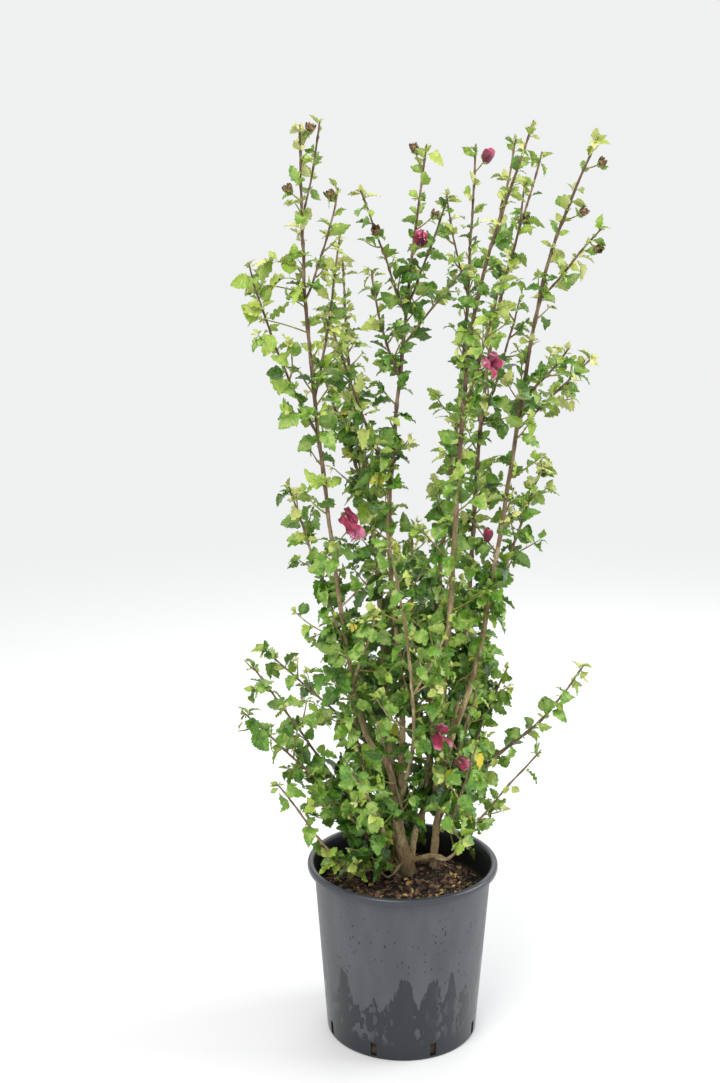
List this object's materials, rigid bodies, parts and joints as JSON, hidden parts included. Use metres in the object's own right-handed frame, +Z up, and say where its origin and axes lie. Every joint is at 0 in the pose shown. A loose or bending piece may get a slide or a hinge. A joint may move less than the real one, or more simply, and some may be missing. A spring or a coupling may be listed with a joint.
{
  "type": "potted rose of sharon",
  "caption": "Upright flowering shrub of many woody stems with lobed leaves, open seed pods and furled blooms, growing in a round tapered nursery container filled with soil.",
  "frame": {"origin": "centre of the container's flat underside", "axes": "+Z up the stems, +X to the right of the shrub's broad side, and -Y out of that broad side towards the viewer"},
  "size_m": [0.5933, 0.4727, 1.4723],
  "materials": {
    "container": "satin",
    "soil": "matte",
    "bark": "matte",
    "foliage": "satin"
  },
  "bodies": {
    "root": {"back_bough": "bark", "back_crown": "foliage", "back_left_bough": "bark", "back_left_crown": "foliage", "back_right_bough": "bark", "back_right_crown": "foliage", "container": "container", "creeping_left_leaves": "foliage", "creeping_right_leaves": "foliage", "front_bough": "bark", "front_crown": "foliage", "front_right_bough": "bark", "front_right_crown": "foliage", "inner_back_left_leaves": "foliage", "inner_back_right_leaves": "foliage", "inner_front_leaves": "foliage", "inner_front_left_leaves": "foliage", "inner_left_leaves": "foliage", "inner_right_bough": "bark", "inner_right_crown": "foliage", "inner_right_front_leaves": "foliage", "left_bough": "bark", "left_crown": "foliage", "low_back_leaves": "foliage", "low_back_left_leaves": "foliage", "low_back_right_leaves": "foliage", "low_front_leaves": "foliage", "low_front_left_leaves": "foliage", "low_front_right_leaves": "foliage", "low_left_leaves": "foliage", "low_right_leaves": "foliage", "middle_bough": "bark", "middle_crown": "foliage", "right_bough": "bark", "right_crown": "foliage", "soil": "soil", "trunk": "bark"}
  },
  "joints": []
}
